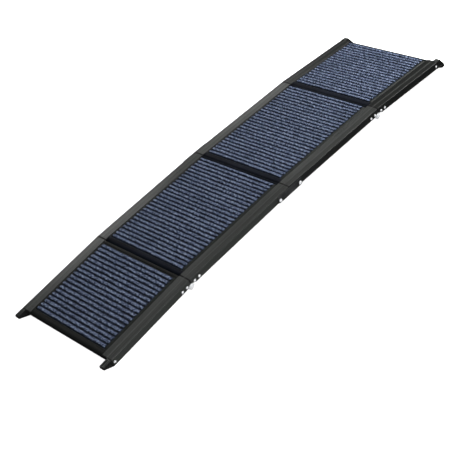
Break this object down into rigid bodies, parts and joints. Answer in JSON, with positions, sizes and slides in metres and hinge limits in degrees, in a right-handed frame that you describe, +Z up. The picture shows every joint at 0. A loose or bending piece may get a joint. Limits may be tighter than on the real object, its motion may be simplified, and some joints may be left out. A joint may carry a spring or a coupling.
{
  "type": "folding dog ramp",
  "caption": "Folding dog ramp of hinged carpeted deck sections between black side rails, with rubber feet at both ends.",
  "frame": {"origin": "on the floor, under the middle of the open ramp", "axes": "+X along the ramp from its lower end to its upper end, +Y across it to its left side, +Z up"},
  "size_m": [1.6682, 0.4412, 0.0774],
  "materials": {
    "rail": "satin black powder coat on extruded aluminium",
    "panel": "fine-grained moulded plastic, very dark navy",
    "carpet": "ribbed blue-grey looped carpet",
    "rubber": "matte black moulded rubber",
    "zinc": "bright zinc plate",
    "link": "satin black powder coat on steel",
    "washer": "black nylon",
    "brace": "plain extruded aluminium"
  },
  "bodies": {
    "section_1": {"rail_left_1": "rail", "rail_right_1": "rail", "deck_panel_1": "panel", "carpet_1": "carpet", "hinge_leaf_left_1": "zinc", "hinge_leaf_right_1": "zinc", "hinge_rivets_1": "zinc", "cross_brace_low_1": "brace", "cross_brace_high_1": "brace", "brace_screws_1": "zinc", "foot_lower_left": "rubber", "foot_lower_right": "rubber", "foot_screws_lower": "zinc"},
    "section_2": {"rail_left_2": "rail", "rail_right_2": "rail", "deck_panel_2": "panel", "carpet_2": "carpet", "hinge_leaf_left_2": "zinc", "hinge_leaf_right_2": "zinc", "hinge_rivets_2": "zinc", "cross_brace_low_2": "brace", "cross_brace_high_2": "brace", "brace_screws_2": "zinc", "hinge_pins_lower": "zinc"},
    "section_3": {"rail_left_3": "rail", "rail_right_3": "rail", "deck_panel_3": "panel", "carpet_3": "carpet", "hinge_leaf_left_3": "zinc", "hinge_leaf_right_3": "zinc", "hinge_rivets_3": "zinc", "cross_brace_low_3": "brace", "cross_brace_high_3": "brace", "brace_screws_3": "zinc", "hinge_pins_upper": "zinc"},
    "section_4": {"rail_left_4": "rail", "rail_right_4": "rail", "deck_panel_4": "panel", "carpet_4": "carpet", "hinge_leaf_left_4": "zinc", "hinge_leaf_right_4": "zinc", "hinge_rivets_4": "zinc", "cross_brace_low_4": "brace", "cross_brace_high_4": "brace", "brace_screws_4": "zinc", "foot_upper_left": "rubber", "foot_upper_right": "rubber", "foot_screws_upper": "zinc"},
    "middle_links": {"link_plate_left": "link", "link_plate_right": "link", "link_rivets": "zinc", "link_washers": "washer"}
  },
  "joints": [
    {"name": "lower_fold", "type": "hinge", "parent": "section_2", "child": "section_1", "pos_m": [-0.46704, 0, 0.02807], "axis": [0, -1, 0], "range_deg": [0, 176.4]},
    {"name": "middle_fold_low", "type": "hinge", "parent": "section_2", "child": "middle_links", "pos_m": [-0.05702, 0, 0.05285], "axis": [0, 1, 0], "range_deg": [0, 88.8]},
    {"name": "middle_fold_high", "type": "hinge", "parent": "middle_links", "child": "section_3", "pos_m": [0.03897, 0, 0.05386], "axis": [0, 1, 0], "range_deg": [0, 88.8]},
    {"name": "upper_fold", "type": "hinge", "parent": "section_3", "child": "section_4", "pos_m": [0.44941, 0, 0.03766], "axis": [0, 1, 0], "range_deg": [0, 176.4]}
  ]
}
